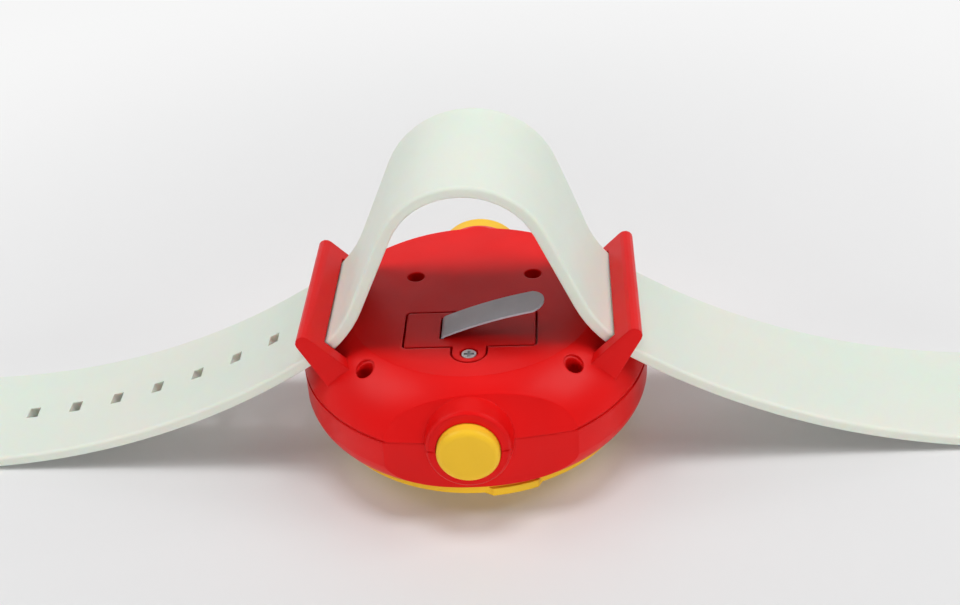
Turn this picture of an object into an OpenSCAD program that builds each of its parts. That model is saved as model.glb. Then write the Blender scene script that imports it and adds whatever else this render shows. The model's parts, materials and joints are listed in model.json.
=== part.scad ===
// Toy projector watch, lying face down with its strap looped over the back.
// X runs along the strap, Y from the push button to the lens, Z up from the front window.

/* [Case] */
// Diameter of the case at the parting line
case_d = 52; // [51:0.5:56]
// Height of the parting line and the light path above the front window
part_z = 13.4; // [13.2:0.1:14.2]
// Height of the flat back above the front window
back_z = 21.1; // [20.9:0.1:22.5]
// Diameter of the flat part of the back
back_flat_d = 36.6; // [35:0.2:39]
// Diameter of the flat part of the back on the lens side
lens_flat_d = 43.6; // [42:0.2:45]
// Radius of the round shoulder between the parting line and the flat back
shoulder_r = 13.3; // [12:0.1:18]
// Height of the straight band below the parting line
band_h = 3.6; // [2.5:0.1:4.5]
// Height of the front rim of the case above the front window
rim_z = 5.2; // [5:0.1:5.6]
// Diameter of the front rim of the case
rim_d = 46.4; // [45:0.2:48]
// Wall of the case
wall = 1.8; // [1.4:0.1:2]
// Depth of the long side facets below the round of the case
facet_cut = 2.7; // [2:0.1:3.2]
// Radius of the side facets, seen from above
facet_r = 78; // [65:1:95]
// Inward lean of the facets on the back half, in degrees
facet_lean = 21; // [10:1:24]
// Inward lean of the lens side's facet on the back half, in degrees
lens_lean = 8; // [0:1:9]
// Turn of the facets about the case's axis, in degrees
facet_turn = 4; // [0:0.5:6]

/* [Lugs] */
// Height of the lugs above the flat back
lug_h = 3.8; // [3.2:0.1:4.5]
// Thickness of the lug end walls
lug_wall = 2; // [1.6:0.1:2.6]
// Distance of the lug tip inside the round of the case
lug_tip_in = 1.5; // [0.8:0.1:1.8]

/* [Strap] */
// Width of the strap
strap_w = 22; // [20:0.5:23]
// Thickness of the strap
strap_t = 1.8; // [1.5:0.1:2]
// Radius of the top of the loop, at mid thickness
loop_r = 11.7; // [10.5:0.1:12.5]
// Slope of the loop's legs, in degrees
loop_slope = 66; // [62:1:70]
// Slope of the strap under the lug bar, in degrees
lug_slope = 34.3; // [32:0.1:37]
// Radius of the bend between the leg and the lug bar
bend_r = 19; // [16:0.5:22]
// Length of the flat stretch at the holed end
tip_flat = 13; // [11:0.5:20]
// Length of the flat stretch at the buckle end
buckle_flat = 9; // [7:0.5:16]
// Number of buckle holes
hole_count = 9; // [6:1:9]
// Distance between buckle holes
hole_pitch = 7.2; // [6.6:0.1:7.4]
// Side of each square buckle hole
hole_w = 2.1; // [1.8:0.1:2.6]

/* [Push button] */
// Diameter of the push button
button_d = 8.9; // [8:0.1:9.4]
// How far the button face stands out of its side facet
button_out = 3.4; // [3:0.1:3.6]
// How far the button moves in
button_travel = 1; // [0.6:0.1:1.1]

/* [Lens barrel] */
// Diameter of the lens barrel
barrel_d = 13.8; // [13:0.1:14]
// How far the lens barrel stands out of its side facet
barrel_out = 3.3; // [2.6:0.1:4.5]

/* [Front] */
// Diameter of the front window
window_d = 29.9; // [28:0.1:30.2]
// Thickness of the front window
window_t = 1.4; // [1:0.1:1.8]
// Outer diameter of the turning bezel
bezel_d = 46; // [44.5:0.1:46.4]
// Height of the straight edge of the bezel
bezel_edge = 1.25; // [0.8:0.05:1.4]
// Height of the bezel's front above the window's front
bezel_lift = 0.4; // [0.3:0.05:0.8]
// How far the thumb tab stands out of the bezel
thumb_out = 0.5; // [0.4:0.1:1.4]
// Number of pictures round the film drum
picture_count = 8; // [6:1:9]

/* [Battery door] */
// Width of the battery door opening
door_w = 19.5; // [18.5:0.1:20]
// Depth of the battery door opening
door_d = 9.2; // [9.1:0.1:9.4]
// Distance of the door's middle from the case axis, towards the button
door_y = 6.7; // [6.5:0.1:6.8]
// Thickness of the battery door
door_t = 1.4; // [1.2:0.1:1.5]
// Gap round the battery door
door_gap = 0.3; // [0.1:0.05:0.35]
// Diameter of one button cell
cell_d = 7.9; // [7.5:0.1:7.95]
// Thickness of one button cell
cell_t = 3.6; // [3.2:0.1:3.7]

/* [Buckle] */
// Length of the buckle from the pin to the far bar
buckle_l = 11; // [9:0.5:14]
// Thickness of the buckle's side arms
buckle_arm = 2; // [1.6:0.1:2.4]
// Diameter of the buckle pin
pin_d = 1.4; // [1.2:0.1:1.6]

/* [Hidden] */
$fn = 96;

// Overrun of every cut, running fit of turning and sliding pieces, and seat gap of pieces that lie still
cut = 1;
running = 0.08;
seat = 0.05;

// Colours
red = [0.84, 0.09, 0.09];
yellow = [0.93, 0.74, 0.18];
mint = [0.88, 0.92, 0.87];
steel = [0.75, 0.75, 0.77];
pale = [0.9, 0.9, 0.88];
dark = [0.16, 0.16, 0.18];
green = [0.1, 0.38, 0.22];
clear = [0.85, 0.92, 0.95, 0.35];
grey = [0.55, 0.55, 0.56];

// Case
case_r = case_d / 2;
facet_y = case_r - facet_cut;
back_wall = 1.6;
shoulder_c = arc_centre([case_r, part_z], [back_flat_d / 2, back_z], shoulder_r);
// The lens side's shoulder starts a little outside the case, so that the two shoulders cross cleanly
lens_spare = 0.06;
lens_shoulder_c = arc_centre([case_r + lens_spare, part_z], [lens_flat_d / 2, back_z], shoulder_r);
seam_h = 0.3;
seam_d = 0.25;
rim_drop = part_z - band_h - rim_z;
rim_in = case_r - rim_d / 2;
rim_curve_r = (rim_in * rim_in + rim_drop * rim_drop) / (2 * rim_in);
rim_crease = 0.05;
rim_c = [case_r - rim_curve_r + rim_crease, part_z - band_h];
front_wall_z = rim_z + wall;
post_root = 0.4;
post_z = front_wall_z - post_root;

// Lugs, as [x, z] from the round of the case and the flat back
strap_gap = 0.3;
lug_y = strap_w / 2 + strap_gap + lug_wall;
lug_round = 1.15;
lug_round_from = 136;
lug_round_to = -27;
lug_steps = 6;
lug_out_in = 5.3;
lug_out_drop = 5;
lug_in_in = 8.8;
lug_in_drop = 2;
lug_c = [case_r - lug_tip_in - lug_round, back_z + lug_h - lug_round];
lug_out = [case_r - lug_out_in, back_z - lug_out_drop];
lug_in = [case_r - lug_in_in, back_z - lug_in_drop];
bar_in_share = 0.61;

// Strap route: each point is [x, z, slope] at mid thickness
strap_at_in = 3.5;
strap_at_drop = 1.5;
strap_at = [case_r - strap_at_in, back_z - strap_at_drop];
leg_end = [strap_at[0] - bend_r * (sin(loop_slope) - sin(lug_slope)),
    strap_at[1] + bend_r * (cos(lug_slope) - cos(loop_slope))];
leg_l = (leg_end[0] - loop_r * sin(loop_slope)) / cos(loop_slope);
leg_top = leg_end + leg_l * [-cos(loop_slope), sin(loop_slope)];
loop_z = leg_top[1] + loop_r * (1 - cos(loop_slope));
reach_r = (strap_at[1] - strap_t / 2) / (1 - cos(lug_slope));
reach_x = strap_at[0] + reach_r * sin(lug_slope);
reach_l = reach_r * lug_slope * PI / 180;
tip_x = reach_x + tip_flat;
tip_r = 13;
pin_x = reach_x + buckle_flat;
hole_start = 9.2;
loop_steps = 14;
bend_steps = 8;
reach_steps = 18;
channel_turn = 8;
channel_steps = 4;

// Push button, along the light path's axis but on the near side
button_r = button_d / 2;
button_face = facet_y + button_out;
button_round = 0.9;
button_flange_t = 0.8;
button_flange_out = 0.95;
button_flange_r = button_r + button_flange_out;
button_seat_wall = 1.2;
button_stop = facet_y - button_seat_wall;
button_back = button_stop - seat * 2 - button_flange_t;
boss_out = 2;
boss_wall = 1.5;
boss_taper = 0.75;
boss_tilt = 8;
boss_root = 2.7;
boss_edge = 0.35;
boss_rim_r = button_r + boss_wall;
boss_r = boss_rim_r + boss_taper;

// Switch behind the button
switch_w = 6;
switch_front = button_back - button_travel - seat * 2;
switch_t = 2.2;
switch_skin = 0.3;
plunger_d = 3.1;
plunger_l = 1.9;
switch_board_t = 0.7;
switch_board_w = 11;
switch_board_h = 8.4;
switch_post_w = 1.7;
switch_post_t = 0.7;
switch_post_short = 0.3;
switch_post_d = switch_board_t + switch_post_t - switch_post_short;
switch_slot = 0.6;
switch_post_x = switch_board_w / 2 - switch_slot;
switch_back = switch_front - switch_t - switch_board_t;
switch_board_z = part_z - switch_board_h / 2;

// Battery bay: cells stand on edge in a row along X, behind the pull tab
door_seat_z = back_z - door_t;
ledge_t = 1.5;
ledge_side = 1.15;
cell_count = 3;
cell_head = 0.6;
cell_z = door_seat_z - cell_head - cell_d / 2;
cell_side = 0.25;
cell_cap_share = 0.72;
cell_cap_h = 0.3;
well_x = 8.2;
well_wall = 0.9;
well_y = cell_d / 2 + cell_side;
well_z = cell_z - cell_d / 2 - seat;
door_corner = 0.8;
door_tab_r = 2.7;
door_tab_y = 12.4;
door_screw_y = 12.7;
door_screw_head_r = 1.05;
door_screw_head_h = 0.65;
door_screw_sunk = 0.15;
door_screw_z = back_z - door_screw_sunk - door_screw_head_h;
door_screw_l = 5.5;
door_boss_r = 1.8;
door_boss_l = 6.5;
door_boss_z = door_seat_z - door_boss_l;

// Pull tab between the first cell and the spring contact
tab_x = -4.1;
tab_t = 0.3;
tab_w = 5.1;
tab_off = 0.3;
tab_y = door_y - tab_off;
tab_slot = 0.65;
tab_slot_spare = 0.15;
tab_bend_r = 0.8;
tab_bend_drop = 0.4;
tab_rise = 23;
tab_rise_end = 9.5;
tab_l = 15.1;
tab_foot = 1.6;
tab_steps = 8;
tab_nose_share = 0.54;
tab_bend_z = back_z - tab_bend_drop;
tab_out = [tab_x + tab_bend_r * (1 - sin(tab_rise)), tab_bend_z + tab_bend_r * cos(tab_rise)];
tab_curve_r = tab_l / ((tab_rise - tab_rise_end) * PI / 180);
tab_end_x = tab_out[0] + tab_curve_r * (sin(tab_rise) - sin(tab_rise_end));

// Contacts at both ends of the row of cells
cells_start = tab_x + tab_t / 2 + seat * 2;
cells_end = cells_start + cell_count * (cell_t + seat);
leaf_t = 0.25;
leaf_w = 4;
plate_t = 0.35;
leaf_root = plate_t + seat - well_x;
leaf_r = tab_x - tab_t / 2 - seat * 2 - leaf_root;
contact_w = 6;
contact_h = 7;
contact_nub_r = 2;

// Turning bezel and film drum
bezel_r = bezel_d / 2;
window_gap = 0.15;
bezel_in = window_d / 2 + window_gap;
bezel_face_w = 1;
collar_t = 1.5;
collar_r = bezel_in + collar_t;
bezel_gap = 0.1;
bezel_top = rim_z - bezel_gap;
drum_z = front_wall_z + bezel_gap * 2;
drum_step = 0.4;
drum_in = bezel_in + drum_step;
drum_r = collar_r;
drum_flange_out = 1.1;
drum_flange_r = drum_r + drum_flange_out;
drum_flange_t = 0.8;
drum_room = 0.5;
drum_top = door_seat_z - ledge_t - drum_room;
picture_d = 6;
film_t = 0.2;
thumb_start = -88.2;
thumb_turn = 27;
thumb_slant = 5.4;
thumb_steps = 6;
thumb_drop = 0.3;
thumb_t = 1.3;
thumb_root = 1;

// Lens barrel
barrel_r = barrel_d / 2;
barrel_face = facet_y + barrel_out;
barrel_wall = 1.45;
barrel_seat_wall = 0.85;
barrel_flange_t = 1;
barrel_flange_out = 0.5;
barrel_back = drum_flange_r + drum_room;
barrel_round = 0.6;
flange_y = facet_y - barrel_seat_wall - barrel_flange_t - seat;
lens_depth = 3;
lens_edge = 1;
lens_rise = 1;
lens_r = barrel_r - barrel_wall;
lens_dome_r = (lens_r * lens_r + lens_rise * lens_rise) / (2 * lens_rise);
far_boss_wall = 0.6;
far_boss_taper = 0.8;
far_boss_rim = barrel_r + far_boss_wall;
far_boss_r = far_boss_rim + far_boss_taper;
far_boss_in = 0.3;

// Dial and its carrier
carrier_r = bezel_in - running;
carrier_rim = 1.1;
dial_depth = 3.6;
dial_t = 0.8;
dial_r = carrier_r - carrier_rim - seat;
dial_z = window_t + dial_depth;
carrier_floor = 1.2;
carrier_top = dial_z + carrier_floor;
mark_count = 12;
mark_l = 2;
mark_w = 0.8;
mark_h = 0.3;
mark_in = 0.9;
hand_w = 1;
hour_hand_l = 6.2;
minute_hand_l = 9.2;
hand_tail = 1.4;
hour_hand_turn = -145;
minute_hand_turn = -30;
hand_hub_d = 2.4;
board_standoff = 2.4;
board_t = 0.8;
board_room = 1;
board_r = drum_in - board_room;
board_z = carrier_top + board_standoff;

// Screws
carrier_screw_x = 9;
carrier_screw_y = 7.7;
case_screw_in = 5.4;
case_screw_turn = 43.9;
case_screw_at = case_r - case_screw_in;
case_hole_r = 1.2;
case_head_r = 1.05;
lip_r = 1.5;
lip_depth = 0.4;
lip_out = case_screw_at - shoulder_c[0];
lip_up = sqrt(shoulder_r * shoulder_r - lip_out * lip_out);
lip_z = shoulder_c[1] + lip_up;
lip_tilt = atan2(lip_out, lip_up);
head_hole_r = 1.35;
head_r = 1.2;
head_h = 1.3;
shank_r = 0.75;
boss_tube_wall = 0.9;
boss_tube_r = head_hole_r + boss_tube_wall;
seat_wall = 1.4;
case_screw_l = 6.5;
carrier_screw_l = 7;
carrier_boss_l = 5.1;
carrier_post_top = back_z - carrier_boss_l;
post_r = 2.2;
post_foot_r = 2.9;
socket_depth = 0.6;
socket_w = 0.42;
socket_l = 1.5;

// Light
led_r = 1.5;
led_flange_r = 1.9;
led_flange_t = 0.8;
led_l = 3.6;
led_holder_w = 6.4;
led_holder_d = 4;
led_holder_y = 3.4;
led_holder_up = 3;
led_back = led_holder_y + led_holder_d + seat;

// Buckle
pin_r = pin_d / 2;
pin_z = 2.1;
barrel_end_r = 1.9;
barrel_end_in = 0.9;
buckle_y = strap_w / 2 + strap_gap;
eye_wall = 1.1;
eye_r = pin_r + running + eye_wall;
bar_r = 1.2;
bar_lift = 0.6;
bar_z = pin_z + bar_lift;
arm_h = 1.7;
tongue_w = 1.9;
tongue_t = 0.9;
tongue_gap = 0.3;
tongue_past = 1.5;
tongue_z = bar_z - bar_r - tongue_gap;
tongue_eye_r = 1.6;
tongue_root_share = 0.8;
notch_w = tongue_w + 2 * strap_gap;
notch_l = 2.8;

// Centre of an arc of a given radius that runs from a to b and bulges away from the axis
function arc_centre(a, b, r) =
    let (d = b - a, h = sqrt(r * r - d * d / 4)) (a + b) / 2 + h * [-d[1], d[0]] / norm(d);

// Round tip of a lug
function lug_tip_points() = [for (i = [0:lug_steps])
    let (a = lug_round_from + (lug_round_to - lug_round_from) * i / lug_steps)
    lug_c + lug_round * [cos(a), sin(a)]];

// Arc of the thumb tab at radius r, shortened by an angle at both ends
function thumb_arc(r, short) = [for (i = [0:thumb_steps])
    let (a = thumb_start + short + (thumb_turn - 2 * short) * i / thumb_steps) r * [cos(a), sin(a)]];
function turned_back(points) = [for (i = [len(points) - 1:-1:0]) points[i]];

// Half of the strap's route, to the right of the loop's top
function loop_points() = [for (i = [0:loop_steps]) let (a = loop_slope * i / loop_steps)
    [loop_r * sin(a), loop_z - loop_r * (1 - cos(a)), a]];
function bend_point(a) =
    [leg_end[0] + bend_r * (sin(loop_slope) - sin(a)), leg_end[1] - bend_r * (cos(a) - cos(loop_slope)), a];
function bend_points() = [for (i = [0:bend_steps])
    bend_point(loop_slope + (lug_slope - loop_slope) * i / bend_steps)];
function reach_point(a) =
    [strap_at[0] + reach_r * (sin(lug_slope) - sin(a)), strap_at[1] - reach_r * (cos(a) - cos(lug_slope)), a];
function reach_points() = [for (i = [1:reach_steps]) reach_point(lug_slope * (1 - i / reach_steps))];
function half_route(end_x) = concat(loop_points(), bend_points(), reach_points(), [[end_x, strap_t / 2, 0]]);
function mirrored(route) = [for (i = [len(route) - 1:-1:1]) [-route[i][0], route[i][1], -route[i][2]]];

// Point of the strap's route a given length outside the lug bar
function strap_point(s) = s < reach_l ? reach_point(lug_slope - s / reach_r * 180 / PI)
    : [reach_x + s - reach_l, strap_t / 2, 0];

// Outline of a band of half thickness h along a route
function band(route, h) = concat(
    [for (p = route) [p[0] + h * sin(p[2]), p[1] + h * cos(p[2])]],
    [for (i = [len(route) - 1:-1:0]) let (p = route[i]) [p[0] - h * sin(p[2]), p[1] - h * cos(p[2])]]);

// Route of the pull tab: straight up out of the cells, over the slot's edge and off to the right
function tab_points() = concat(
    [[tab_x, well_z + tab_foot, -90]],
    [for (i = [0:tab_steps]) let (a = 90 - (90 - tab_rise) * i / tab_steps)
        [tab_x + tab_bend_r * (1 - sin(a)), tab_bend_z + tab_bend_r * cos(a), -a]],
    [for (i = [1:tab_steps]) let (a = tab_rise - (tab_rise - tab_rise_end) * i / tab_steps)
        [tab_out[0] + tab_curve_r * (sin(tab_rise) - sin(a)),
            tab_out[1] + tab_curve_r * (cos(a) - cos(tab_rise)), -a]]);

// A round piece along Y at the height of the light path
module y_rod(r, y0, y1) {
    y_cone(r, r, y0, y1);
}

module y_cone(r0, r1, y0, y1) {
    translate([0, y0, part_z]) rotate([-90, 0, 0]) cylinder(h = y1 - y0, r1 = r0, r2 = r1);
}

// An XZ outline between two Y planes
module xz_slab(y0, y1) {
    translate([0, y1, 0]) rotate([90, 0, 0]) linear_extrude(y1 - y0) children();
}

// A solid turned about the light path: its outline is [radius, distance along -Y or +Y]
module turned_along_y(side) {
    translate([0, 0, part_z]) rotate([-90 * side, 0, 0]) rotate_extrude() children();
}

// A half disc outline of radius r and height h with a rounded outer corner, standing on y0
module rounded_outline(r, y0, y1, round) {
    translate([0, y0]) square([r, y1 - y0 - round]);
    translate([0, y0]) square([r - round, y1 - y0]);
    translate([r - round, y1 - round]) circle(round);
}

module each_side() {
    for (m = [0, 1]) mirror([m, 0, 0]) children();
}

// The heights that the back shell or the front shell takes up
module shell_zone(up) {
    translate([-case_d, -case_d, up ? part_z : rim_z])
        cube([2 * case_d, 2 * case_d, up ? back_z - part_z : part_z - rim_z]);
}

// A self-tapping screw whose head sits on z, with a cross recess
module tapping_screw(z, head_r, head_h, length) {
    difference() {
        union() {
            translate([0, 0, z]) cylinder(h = head_h, r = head_r);
            translate([0, 0, z - length]) cylinder(h = length + seat, r = shank_r);
        }
        for (turn = [0, 90]) rotate([0, 0, turn])
            translate([-socket_l / 2, -socket_w / 2, z + head_h - socket_depth])
            cube([socket_l, socket_w, socket_depth + cut]);
    }
}

module at_case_screws() {
    each_side() rotate([0, 0, -case_screw_turn]) translate([case_screw_at, 0, 0]) children();
}

module at_carrier_screws() {
    each_side() translate([carrier_screw_x, carrier_screw_y, 0]) children();
}

// Case outlines

// The room between the two side facets, whose leans are given for the lens side and the button's side
module facet_pair(y, leans, z0, z1) {
    rotate([0, 0, facet_turn]) intersection_for(i = [0, 1])
        translate([0, (2 * i - 1) * (facet_r - y), z0])
        cylinder(h = z1 - z0, r1 = facet_r - (z0 - part_z) * tan(leans[i]),
            r2 = facet_r - (z1 - part_z) * tan(leans[i]));
}

// Outline of the back about a shoulder's centre
module upper_outline(centre, inset, z0, z1) {
    intersection() {
        translate([0, z0]) square([case_r, z1 - z0]);
        union() {
            translate(centre) circle(shoulder_r - inset);
            square([centre[0], back_z]);
        }
    }
}

module lower_outline(inset, z0, z1) {
    intersection() {
        translate([0, z0]) square([case_r - inset, z1 - z0]);
        union() {
            translate([0, rim_c[1]]) square([case_r, z1 - rim_c[1]]);
            translate(rim_c) circle(rim_curve_r - inset);
            square([rim_c[0], part_z]);
        }
    }
}

// Form of the back: turned on the button's side, and running straight out to the facet on the lens side
module upper_form(inset, z0, z1) {
    intersection() {
        union() {
            intersection() {
                rotate_extrude() upper_outline(shoulder_c, inset, z0, z1);
                translate([-case_d, -case_d, z0 - cut]) cube([2 * case_d, case_d, z1 - z0 + cut + cut]);
            }
            intersection() {
                rotate_extrude() upper_outline(lens_shoulder_c, inset, z0, z1);
                xz_slab(0, case_r) for (m = [0, 1]) mirror([m, 0])
                    upper_outline(shoulder_c, inset, z0, z1);
            }
        }
        facet_pair(facet_y - inset, [lens_lean, facet_lean], z0 - cut, z1 + cut);
    }
}

module upper_solid() {
    upper_form(0, part_z, back_z);
}

module upper_hollow() {
    upper_form(wall, part_z - cut, back_z - back_wall);
}

module lower_solid() {
    intersection() {
        rotate_extrude() lower_outline(0, rim_z, part_z);
        facet_pair(facet_y, [0, 0], rim_z - cut, part_z + cut);
    }
}

module lower_hollow() {
    intersection() {
        rotate_extrude() lower_outline(wall, front_wall_z, part_z + cut);
        facet_pair(facet_y - wall, [0, 0], front_wall_z - cut, part_z + cut + cut);
    }
}

// Boss for the button, whose face leans a little towards the back and whose edge is broken
module button_boss(inset) {
    front = -facet_y - boss_out + inset;
    rim = boss_rim_r - inset;
    translate([0, -facet_y, part_z]) rotate([-boss_tilt, 0, 0]) translate([0, facet_y, -part_z]) {
        y_cone(rim - boss_edge, rim, front, front + boss_edge);
        y_cone(rim, boss_r - inset, front + boss_edge, -facet_y + boss_root);
    }
}

module barrel_boss() {
    y_cone(far_boss_r, far_boss_rim, facet_y - boss_root, facet_y - far_boss_in);
}

// Bosses for the button and the lens barrel, shared by both shells at the parting line
module side_bosses(up) {
    intersection() {
        union() {
            button_boss(0);
            barrel_boss();
        }
        shell_zone(up);
    }
}

// Fine groove along the parting line, cut into the back shell's lower edge
module seam_groove() {
    difference() {
        translate([-case_d, -case_d, part_z - cut]) cube([2 * case_d, 2 * case_d, cut + seam_h]);
        intersection() {
            translate([0, 0, part_z - cut - cut]) cylinder(h = seam_h + cut + cut + cut, r = case_r - seam_d);
            facet_pair(facet_y - seam_d, [0, 0], part_z - cut - cut, part_z + seam_h + cut);
        }
        button_boss(seam_d);
        barrel_boss();
    }
}

module side_bores() {
    y_rod(button_r + running, -button_face, -button_stop + cut);
    y_rod(button_flange_r + seat * 2, -button_stop, -button_back + button_travel + cut);
    y_rod(barrel_r + seat, barrel_back - seat, barrel_face);
    y_rod(barrel_r + barrel_flange_out + seat, flange_y - seat, flange_y + barrel_flange_t + seat);
}

// Fins at both ends of each lug, with a bar between them that the strap runs under
module lug_blocks() {
    tip = lug_tip_points();
    bar_in = lug_in + bar_in_share * (tip[0] - lug_in);
    each_side() {
        for (side = [0, 1]) mirror([0, side, 0])
            xz_slab(lug_y - lug_wall, lug_y) polygon(concat([lug_in], tip, [lug_out]));
        xz_slab(-lug_y, lug_y) polygon(concat([bar_in], tip, [strap_at]));
    }
}

module strap_channels() {
    channel = concat([[leg_top[0], leg_top[1], loop_slope]], bend_points(),
        [for (i = [1:channel_steps]) reach_point(lug_slope - channel_turn * i / channel_steps)]);
    each_side() xz_slab(-strap_w / 2 - strap_gap, strap_w / 2 + strap_gap)
        polygon(band(channel, strap_t / 2 + strap_gap));
}

// Door outline, grown by a gap: a rounded rectangle with a round tongue for the screw
module door_outline(grow) {
    r = door_corner + grow;
    x = door_w / 2 - door_corner;
    y = door_d / 2 - door_corner;
    translate([0, -door_y]) {
        square([2 * (x + r), 2 * y], center = true);
        square([2 * x, 2 * (y + r)], center = true);
        for (sx = [-1, 1], sy = [-1, 1]) translate([sx * x, sy * y]) circle(r);
    }
    translate([-door_tab_r - grow, -door_tab_y]) square([2 * (door_tab_r + grow), door_tab_y - door_y]);
    translate([0, -door_tab_y]) circle(door_tab_r + grow);
}

module battery_bay() {
    translate([-door_w / 2 - ledge_side, -door_y - door_d / 2 - ledge_side, door_seat_z - ledge_t])
        cube([door_w + 2 * ledge_side, door_d + 2 * ledge_side, ledge_t + door_t - seat]);
    translate([0, -door_tab_y, door_seat_z - ledge_t])
        cylinder(h = ledge_t + door_t - seat, r = door_tab_r + ledge_side);
    translate([-well_x - well_wall, -door_y - well_y - well_wall, well_z - well_wall])
        cube([2 * (well_x + well_wall), 2 * (well_y + well_wall), door_seat_z - well_z]);
    translate([0, -door_screw_y, door_boss_z]) cylinder(h = door_seat_z - door_boss_z, r = door_boss_r);
}

module battery_cuts() {
    translate([0, 0, door_seat_z]) linear_extrude(door_t + cut) door_outline(0);
    translate([-well_x, -door_y - well_y, well_z]) cube([2 * well_x, 2 * well_y, door_t + cell_d + cut]);
    translate([0, -door_screw_y, door_boss_z - cut])
        cylinder(h = door_t + door_boss_l, r = shank_r + running);
}

// Sub-parts

module back_shell() {
    color(red) difference() {
        union() {
            difference() {
                upper_solid();
                upper_hollow();
            }
            side_bosses(true);
            lug_blocks();
            intersection() {
                union() {
                    at_case_screws() translate([0, 0, part_z]) cylinder(h = back_z - part_z, r = boss_tube_r);
                    at_carrier_screws() translate([0, 0, carrier_post_top])
                        cylinder(h = back_z - carrier_post_top, r = boss_tube_r);
                }
                upper_solid();
            }
            battery_bay();
        }
        strap_channels();
        seam_groove();
        side_bores();
        battery_cuts();
        at_case_screws() {
            screw_way(part_z, case_hole_r);
            screw_lip();
        }
        at_carrier_screws() screw_way(carrier_post_top, head_hole_r);
    }
}

// Way for a sunk screw whose boss starts at z
module screw_way(z, hole_r) {
    translate([0, 0, z - cut]) cylinder(h = seat_wall + cut + cut, r = shank_r + running);
    translate([0, 0, z + seat_wall]) cylinder(h = back_z - z, r = hole_r);
}

// Shallow step round a case screw's hole, square to the shoulder
module screw_lip() {
    translate([0, 0, lip_z]) rotate([0, lip_tilt, 0]) translate([0, 0, -lip_depth])
        cylinder(h = lip_depth + cut, r = lip_r);
}

module front_shell() {
    color(red) difference() {
        union() {
            difference() {
                lower_solid();
                lower_hollow();
            }
            side_bosses(false);
            translate([0, 0, post_z]) {
                at_case_screws() cylinder(h = part_z - post_z, r = boss_tube_r);
                each_side() translate([switch_post_x, -switch_back - switch_board_t - switch_post_t, 0])
                    cube([switch_post_w, switch_post_d, part_z - post_z]);
            }
        }
        translate([0, 0, rim_z - cut]) cylinder(h = wall + cut + cut, r = collar_r + running);
        side_bores();
        at_case_screws() translate([0, 0, part_z - case_screw_l])
            cylinder(h = case_screw_l + cut, r = shank_r + seat);
        translate([-switch_board_w / 2 - seat, -switch_back - switch_board_t - seat, switch_board_z - seat])
            cube([switch_board_w + seat * 2, switch_board_t + seat + cut, part_z]);
    }
}

module bezel_ring() {
    color(yellow) {
        rotate_extrude() polygon([[bezel_in, bezel_lift], [bezel_in + bezel_face_w, bezel_lift],
            [bezel_r, bezel_top - bezel_edge], [bezel_r, bezel_top], [collar_r, bezel_top],
            [collar_r, drum_z], [bezel_in, drum_z]]);
        translate([0, 0, bezel_top - bezel_edge - thumb_drop]) linear_extrude(thumb_t)
            polygon(concat(thumb_arc(bezel_r + thumb_out, thumb_slant),
                turned_back(thumb_arc(bezel_r - thumb_root, 0))));
    }
}

module film_drum() {
    color(dark) difference() {
        rotate_extrude() {
            translate([drum_in, drum_z]) square([drum_r - drum_in, drum_top - drum_z]);
            translate([drum_in, drum_z]) square([drum_flange_r - drum_in, drum_flange_t]);
        }
        for (i = [0:picture_count - 1]) rotate([0, 0, 360 * i / picture_count])
            y_rod(picture_d / 2, 0, drum_r + cut);
    }
}

module film_band() {
    color(clear) translate([0, 0, drum_z + drum_flange_t + seat]) difference() {
        cylinder(h = drum_top - drum_z - drum_flange_t - seat, r = drum_r + seat + film_t);
        translate([0, 0, -cut]) cylinder(h = drum_top, r = drum_r + seat);
    }
}

module front_window() {
    color(clear) cylinder(h = window_t, r = window_d / 2);
}

// Bar that points along +Y from the dial's middle
module dial_bar(y0, y1, w) {
    translate([-w / 2, y0, dial_z - dial_t - mark_h]) cube([w, y1 - y0, mark_h + seat]);
}

module dial_plate() {
    color(pale) {
        translate([0, 0, dial_z - dial_t]) cylinder(h = dial_t, r = dial_r);
        for (i = [0:mark_count - 1]) rotate([0, 0, 360 * i / mark_count])
            dial_bar(dial_r - mark_in - mark_l, dial_r - mark_in, mark_w);
        rotate([0, 0, hour_hand_turn]) dial_bar(-hand_tail, hour_hand_l, hand_w);
        rotate([0, 0, minute_hand_turn]) dial_bar(-hand_tail, minute_hand_l, hand_w);
        translate([0, 0, dial_z - dial_t - mark_h]) cylinder(h = mark_h + seat, r = hand_hub_d / 2);
    }
}

module dial_carrier() {
    color(dark) difference() {
        union() {
            translate([0, 0, window_t]) cylinder(h = carrier_top - window_t, r = carrier_r);
            at_carrier_screws() {
                translate([0, 0, dial_z]) cylinder(h = board_z - dial_z, r = post_foot_r);
                translate([0, 0, dial_z]) cylinder(h = carrier_post_top - dial_z, r = post_r);
            }
        }
        translate([0, 0, window_t - cut]) cylinder(h = dial_depth + cut, r = carrier_r - carrier_rim);
        at_carrier_screws() translate([0, 0, carrier_post_top - carrier_screw_l])
            cylinder(h = carrier_screw_l + cut, r = shank_r + seat);
    }
}

module push_button() {
    color(yellow) turned_along_y(-1) {
        rounded_outline(button_r, button_back, button_face, button_round);
        translate([0, button_back]) square([button_flange_r, button_flange_t]);
    }
}

module switch_plunger() {
    color(dark) y_rod(plunger_d / 2, -button_back, -button_back + plunger_l);
}

module tact_switch() {
    color(dark) difference() {
        translate([-switch_w / 2, -switch_front, part_z - switch_w / 2]) cube([switch_w, switch_t, switch_w]);
        y_rod(plunger_d / 2 + running, -switch_front - cut, -switch_front + switch_t - switch_skin);
    }
}

module switch_board() {
    color(green) translate([-switch_board_w / 2, -switch_back - switch_board_t, switch_board_z])
        cube([switch_board_w, switch_board_t, switch_board_h]);
}

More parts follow.
